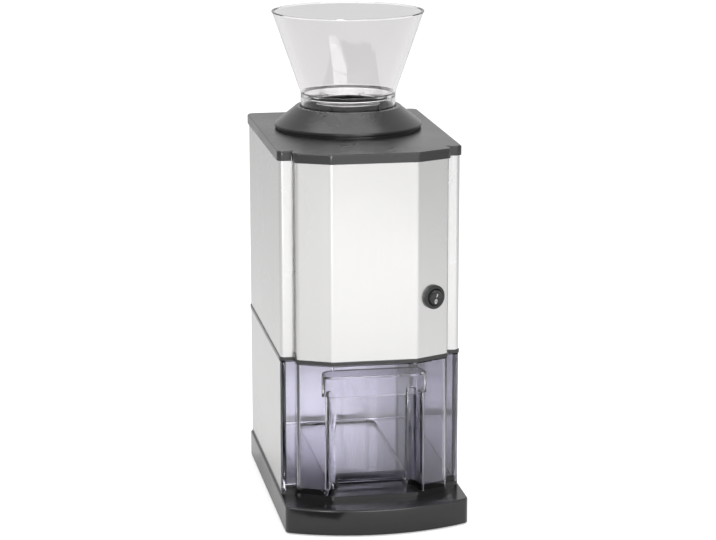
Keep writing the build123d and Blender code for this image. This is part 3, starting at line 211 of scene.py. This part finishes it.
def brushedMetal(name, spec):
    material, tree, surface = newMaterial(name)
    counts = {"Across": spec["across"], "Along": spec["along"], "Patch": spec["patch"]}
    lines = groupNode(tree, brushLines, (-600, 0), **counts)
    dark = shade(spec["color"], 1 - spec["contrast"])
    color = tint(tree, lines.outputs["Line"], dark, spec["color"], (-200, 200))
    rough = spread(tree, lines.outputs["Patch"], *spec["rough"], (-200, 0))
    normal = bump(tree, lines.outputs["Line"], spec["depth"], (-200, -250))
    if "insideColor" in spec:  # sheet that is brushed on its outer side alone
        inside = groupNode(tree, insideFaces, (-600, -300)).outputs["Inside"]
        color = blend(tree, inside, color, spec["insideColor"], (0, 250))
        rough = blendValue(tree, inside, rough, spec["insideRough"], (0, 50))
    tree.links.new(color, surface.inputs["Base Color"])
    tree.links.new(rough, surface.inputs["Roughness"])
    tree.links.new(normal, surface.inputs["Normal"])
    setInputs(surface, Metallic=1.0, Anisotropic=spec["anisotropic"])
    if spec["anisotropic"]:
        around = addNode(tree, "ShaderNodeTangent", (0, -400), direction_type="RADIAL", axis="Z")
        tree.links.new(around.outputs["Tangent"], surface.inputs["Tangent"])
    return material


def plasticSkin(name, spec, shares, relief):
    material, tree, surface = newMaterial(name)
    skin = groupNode(
        tree, mouldedSkin, (-600, 0), Grain_Scale=spec["grainScale"], Smudge_Scale=spec["smudgeScale"])
    dark, light = (shade(spec["color"], share) for share in shares)
    color = tint(tree, skin.outputs["Smudge"], dark, light, (-200, 200))
    rough = spread(tree, skin.outputs["Smudge"], *spec["rough"], (-200, 0))
    normal = bump(tree, skin.outputs[relief], spec["depth"], (-200, -250))
    tree.links.new(color, surface.inputs["Base Color"])
    tree.links.new(rough, surface.inputs["Roughness"])
    tree.links.new(normal, surface.inputs["Normal"])
    setInputs(surface, Metallic=0.0, IOR=spec.get("ior", 1.5))
    return material, surface


def mouldedPlastic(name, spec):
    return plasticSkin(name, spec, smudgeTint["plastic"], "Grain")[0]


def clearPlastic(name, spec):
    material, surface = plasticSkin(name, spec, smudgeTint["clear"], "Smudge")
    surface.inputs["Transmission Weight"].default_value = 1.0
    return material


# finishes, by the record's material slot
metals = {
    "brushed_steel": {"color": (0.66, 0.655, 0.65), "contrast": 0.10, "across": 1500, "along": 9, "patch": 7,
                      "rough": (0.24, 0.30), "depth": 0.000012, "anisotropic": 0.55,
                      "insideColor": (0.80, 0.80, 0.80), "insideRough": 0.3},
    "cast_metal": {"color": (0.50, 0.50, 0.51), "contrast": 0.25, "across": 700, "along": 700, "patch": 30,
                   "rough": (0.45, 0.6), "depth": 0.00006, "anisotropic": 0.0},
    "blade_steel": {"color": (0.62, 0.62, 0.63), "contrast": 0.12, "across": 2200, "along": 200, "patch": 60,
                    "rough": (0.2, 0.3), "depth": 0.00001, "anisotropic": 0.0},
    "bronze": {"color": (0.62, 0.42, 0.2), "contrast": 0.2, "across": 1500, "along": 1500, "patch": 60,
               "rough": (0.35, 0.45), "depth": 0.00002, "anisotropic": 0.0},
    "gear_steel": {"color": (0.42, 0.42, 0.43), "contrast": 0.15, "across": 1200, "along": 1200, "patch": 50,
                   "rough": (0.3, 0.42), "depth": 0.00002, "anisotropic": 0.0},
    "plate_steel": {"color": (0.58, 0.6, 0.6), "contrast": 0.12, "across": 120, "along": 120, "patch": 20,
                    "rough": (0.35, 0.5), "depth": 0.00001, "anisotropic": 0.0},
    "motor_steel": {"color": (0.45, 0.46, 0.47), "contrast": 0.12, "across": 200, "along": 200, "patch": 25,
                    "rough": (0.3, 0.42), "depth": 0.00001, "anisotropic": 0.0},
    "copper": {"color": (0.75, 0.33, 0.16), "contrast": 0.4, "across": 900, "along": 900, "patch": 60,
               "rough": (0.3, 0.4), "depth": 0.00008, "anisotropic": 0.0},
    "terminal": {"color": (0.74, 0.6, 0.28), "contrast": 0.1, "across": 900, "along": 900, "patch": 60,
                 "rough": (0.25, 0.35), "depth": 0.00001, "anisotropic": 0.0},
    "screw_steel": {"color": (0.66, 0.66, 0.66), "contrast": 0.1, "across": 1500, "along": 1500, "patch": 60,
                    "rough": (0.28, 0.4), "depth": 0.00001, "anisotropic": 0.0},
}
plastics = {
    "gloss_black": {"color": (0.005, 0.005, 0.006), "rough": (0.16, 0.24), "grainScale": 2500, "smudgeScale": 14,
                    "depth": 0.000004, "ior": 1.6},
    "satin_black": {"color": (0.010, 0.010, 0.011), "rough": (0.22, 0.30), "grainScale": 1900, "smudgeScale": 12,
                    "depth": 0.00001, "ior": 1.6},
    "rubber": {"color": (0.02, 0.02, 0.02), "rough": (0.7, 0.85), "grainScale": 1500, "smudgeScale": 40,
               "depth": 0.00004},
    "switch_black": {"color": (0.012, 0.012, 0.013), "rough": (0.2, 0.28), "grainScale": 3000, "smudgeScale": 60,
                     "depth": 0.000006},
    "gear_plastic": {"color": (0.78, 0.76, 0.68), "rough": (0.4, 0.5), "grainScale": 1500, "smudgeScale": 30,
                     "depth": 0.00001},
    "magnet": {"color": (0.05, 0.05, 0.055), "rough": (0.55, 0.7), "grainScale": 1800, "smudgeScale": 30,
               "depth": 0.00004},
    "carbon": {"color": (0.03, 0.03, 0.03), "rough": (0.5, 0.6), "grainScale": 2600, "smudgeScale": 60,
               "depth": 0.00002},
    "wire": {"color": (0.34, 0.35, 0.37), "rough": (0.4, 0.5), "grainScale": 900, "smudgeScale": 40,
             "depth": 0.00001},
    "duct_plastic": {"color": (0.62, 0.62, 0.61), "rough": (0.35, 0.45), "grainScale": 1500, "smudgeScale": 20,
                     "depth": 0.00001},
}
clears = {
    "clear_hopper": {"color": (0.990, 0.978, 0.983), "rough": (0.0, 0.03), "grainScale": 300, "smudgeScale": 20,
                     "depth": 0.00003, "ior": 1.5},
    "clear_drawer": {"color": (0.915, 0.908, 0.957), "rough": (0.0, 0.04), "grainScale": 300, "smudgeScale": 16,
                     "depth": 0.00004, "ior": 1.5},
}
finishes = {name: brushedMetal(name, spec) for name, spec in metals.items()}
finishes.update({name: mouldedPlastic(name, spec) for name, spec in plastics.items()})
finishes.update({name: clearPlastic(name, spec) for name, spec in clears.items()})


for subpart in frame["record"]["subparts"]:
    dress(nodes[subpart["node"]], finishes[subpart["material_slot"]])
print("finishes:", len(finishes))


# moulded pieces whose edges catch the light, with the width of the rounding in metres
edgeWidths = {"drawer": 0.0011, "base_tray": 0.0012, "top_lid": 0.0008, "middle_deck": 0.0006}
edgeSpec = {"weld": 0.000002, "segments": 3, "angle": math.radians(35.0)}


def softenEdges(piece, width):
    weld = piece.modifiers.new("joinFaces", "WELD")
    weld.merge_threshold = edgeSpec["weld"]
    soft = piece.modifiers.new("softEdges", "BEVEL")
    soft.width = width
    soft.segments = edgeSpec["segments"]
    soft.limit_method = "ANGLE"
    soft.angle_limit = edgeSpec["angle"]
    soft.harden_normals = True


for name, width in edgeWidths.items():
    softenEdges(nodes[name], width)
print("edges softened:", ", ".join(edgeWidths))


# printed marks on the rocker, in the frame of its joint
markSpec = {"joint": "rocker_tilt", "proud": 0.00005, "sunk": 0.00002}
paintSpec = {"color": (0.75, 0.75, 0.75), "dark": 0.85, "rough": 0.45, "grainScale": 4000.0,
             "smudgeScale": 300.0}
rockerFace = {"foldUp": -0.000563, "foldOut": 0.003556, "tilt": math.radians(18.0)}  # where its two halves meet
offMark = {"up": -0.0036, "outer": (0.00145, 0.0021), "stroke": 0.0006, "steps": 32}
onMark = {"along": 0.0029, "size": (0.0007, 0.0034)}


def makePaint():
    material, tree, surface = newMaterial("switchPaint")
    skin = groupNode(
        tree, mouldedSkin, (-600, 0), Grain_Scale=paintSpec["grainScale"], Smudge_Scale=paintSpec["smudgeScale"])
    dark = shade(paintSpec["color"], paintSpec["dark"])
    color = tint(tree, skin.outputs["Smudge"], dark, paintSpec["color"], (-200, 200))
    tree.links.new(color, surface.inputs["Base Color"])
    setInputs(surface, Roughness=paintSpec["rough"])
    return material


def markMesh(name, outline, faces, place):
    count = len(outline)
    levels = (-markSpec["sunk"], markSpec["proud"])
    points = [place @ Vector((x, y, level)) for level in levels for x, y in outline]
    edges = [edge for face in faces for edge in zip(face, face[1:] + face[:1])]
    rims = [(a, b) for a, b in edges if (b, a) not in edges]
    sides = [[corner + count for corner in face] for face in faces]
    sides += [list(reversed(face)) for face in faces]
    sides += [(a, b, b + count, a + count) for a, b in rims]
    mesh = bpy.data.meshes.new(name)
    mesh.from_pydata(points, [], sides)
    piece = addObject(name, mesh)
    dress(piece, switchPaint)
    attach(piece, "rocker")


def rockerPlace():
    joints = {joint["name"]: joint for joint in frame["record"]["behaviour"]["joints"]}
    joint = joints[markSpec["joint"]]
    across = -Vector(joint["axis"]).normalized()
    outward = Vector((-across.y, across.x, 0.0)).normalized()
    outward = outward if outward.y < 0 else -outward
    up = outward.cross(across)
    turn = Matrix((across, up, outward)).transposed().to_4x4()
    return Matrix.Translation(Vector(joint["pos_m"])) @ turn


def ringOutline(spec):
    steps = spec["steps"]
    turns = [2 * math.pi * step / steps for step in range(steps)]
    points = []
    for inset in (0.0, spec["stroke"]):
        wide, tall = (half - inset for half in spec["outer"])
        points += [(wide * math.cos(turn), tall * math.sin(turn)) for turn in turns]
    pairs = [(step, (step + 1) % steps) for step in range(steps)]
    return points, [[here, beyond, beyond + steps, here + steps] for here, beyond in pairs]


def makeMarks():
    pivot = rockerPlace()
    low = pivot @ Matrix.Translation((0.0, offMark["up"], rockerFace["foldOut"]))
    markMesh("offMark", *ringOutline(offMark), low)
    fold = pivot @ Matrix.Translation((0.0, rockerFace["foldUp"], rockerFace["foldOut"]))
    tilted = fold @ Matrix.Rotation(rockerFace["tilt"], 4, "X")
    high = tilted @ Matrix.Translation((0.0, onMark["along"], 0.0))
    wide, tall = (side / 2 for side in onMark["size"])
    bar = [(-wide, -tall), (wide, -tall), (wide, tall), (-wide, tall)]
    markMesh("onMark", bar, [[0, 1, 2, 3]], high)


switchPaint = makePaint()
makeMarks()
print("switch marks on the rocker")


# floor, light and camera
floorSpec = {"radius": 14.0, "sides": 96, "color": (0.86, 0.86, 0.86), "rough": 0.6, "gloss": 0.1, "lift": 0.42}
worldSpec = {"seen": 1.0, "lit": 0.78}
white = (1, 1, 1, 1)


def makeFloor():
    mesh = bpy.data.meshes.new("studioFloor")
    shape = bmesh.new()
    bmesh.ops.create_circle(shape, cap_ends=True, segments=floorSpec["sides"], radius=floorSpec["radius"])
    shape.to_mesh(mesh)
    shape.free()
    floor = addObject("studioFloor", mesh)
    material, tree, surface = newMaterial("studioFloor")
    setInputs(surface, Base_Color=(*floorSpec["color"], 1.0), Roughness=floorSpec["rough"])
    surface.inputs["Specular IOR Level"].default_value = floorSpec["gloss"]
    surface.inputs["Emission Color"].default_value = white
    lift = addNode(tree, "ShaderNodeMath", (0, -300), operation="MULTIPLY")  # a little brighter where seen
    lift.inputs[1].default_value = floorSpec["lift"]
    path = addNode(tree, "ShaderNodeLightPath", (-300, -300))
    tree.links.new(path.outputs["Is Camera Ray"], lift.inputs[0])
    tree.links.new(lift.outputs["Value"], surface.inputs["Emission Strength"])
    dress(floor, material)


def makeWorld():
    world = bpy.data.worlds.new("studio")
    bpy.context.scene.world = world
    world.use_nodes = True
    tree = world.node_tree
    tree.nodes.clear()
    seen = addNode(tree, "ShaderNodeBackground", (0, 200))
    setInputs(seen, Color=white, Strength=worldSpec["seen"])
    lit = addNode(tree, "ShaderNodeBackground", (0, 0))
    setInputs(lit, Color=white, Strength=worldSpec["lit"])
    path = addNode(tree, "ShaderNodeLightPath", (-200, 500))
    direct = addNode(tree, "ShaderNodeMath", (50, 500), operation="MAXIMUM")  # seen as such or through clear walls
    mix = addNode(tree, "ShaderNodeMixShader", (300, 100))
    output = addNode(tree, "ShaderNodeOutputWorld", (500, 100))
    tree.links.new(path.outputs["Is Camera Ray"], direct.inputs[0])
    tree.links.new(path.outputs["Is Transmission Ray"], direct.inputs[1])
    tree.links.new(direct.outputs["Value"], mix.inputs["Fac"])
    tree.links.new(lit.outputs["Background"], mix.inputs[1])
    tree.links.new(seen.outputs["Background"], mix.inputs[2])
    tree.links.new(mix.outputs["Shader"], output.inputs["Surface"])


# lies before the base's left corner, out of view, so that the blacks have something dark to reflect
darkCard = {"low": (-0.28, -0.36), "high": (-0.05, -0.178), "height": 0.001}


def makeCard():
    (x0, y0), (x1, y1) = darkCard["low"], darkCard["high"]
    corners = [(x0, y0), (x1, y0), (x1, y1), (x0, y1)]
    mesh = bpy.data.meshes.new("darkCard")
    mesh.from_pydata([(x, y, darkCard["height"]) for x, y in corners], [], [(0, 1, 2, 3)])
    card = addObject("darkCard", mesh)
    dress(card, finishes["rubber"])
    card.visible_camera = False
    card.visible_diffuse = False
    card.visible_shadow = False


lightSpecs = {
    "frontPanel": {"place": (0.3, -1.5, 0.75), "aim": (0.05, -0.1, 0.2), "size": (0.9, 1.1), "power": 11},
    "sideFill": {"place": (-0.62, -1.62, 0.32), "aim": (0.07, 0.0, 0.08), "size": (0.3, 0.3), "power": 5},
    "topPanel": {"place": (0.0, 0.3, 1.9), "aim": (0.0, 0.0, 0.2), "size": (1.4, 1.4), "power": 14},
}


def makeLights():
    for name, spec in lightSpecs.items():
        data = bpy.data.lights.new(name, "AREA")
        data.shape = "RECTANGLE"
        data.size, data.size_y = spec["size"]
        data.energy = spec["power"]
        light = addObject(name, data)
        light.location = spec["place"]
        toAim = Vector(spec["aim"]) - light.location
        light.rotation_euler = toAim.to_track_quat("-Z", "Y").to_euler()
        light.visible_camera = False


cameraSpec = {"place": (-0.3912, -2.2830, 0.7567), "yaw": 9.779, "pitch": 12.921, "roll": -0.074,
              "sensor": 36.0, "lens": 122.0}


def makeCamera():
    data = bpy.data.cameras.new("photoCamera")
    data.sensor_width = cameraSpec["sensor"]
    data.lens = cameraSpec["lens"]
    camera = addObject("photoCamera", data)
    camera.location = cameraSpec["place"]
    turn = Matrix.Rotation(math.radians(-cameraSpec["yaw"]), 4, "Z")
    tilt = Matrix.Rotation(math.radians(90.0 - cameraSpec["pitch"]), 4, "X")
    roll = Matrix.Rotation(math.radians(cameraSpec["roll"]), 4, "Z")
    camera.rotation_euler = (turn @ tilt @ roll).to_euler()
    bpy.context.scene.camera = camera


# enough bounces for light to pass the clear drawer's walls on its way in and out
bounceSpec = {"max_bounces": 24, "transmission_bounces": 22, "glossy_bounces": 8, "transparent_max_bounces": 16,
              "caustics_refractive": True}

makeFloor()
makeCard()
makeWorld()
makeLights()
makeCamera()
bpy.context.scene.view_settings.view_transform = "Standard"
for setting, value in bounceSpec.items():
    setattr(bpy.context.scene.cycles, setting, value)
print("stage, light and camera placed")
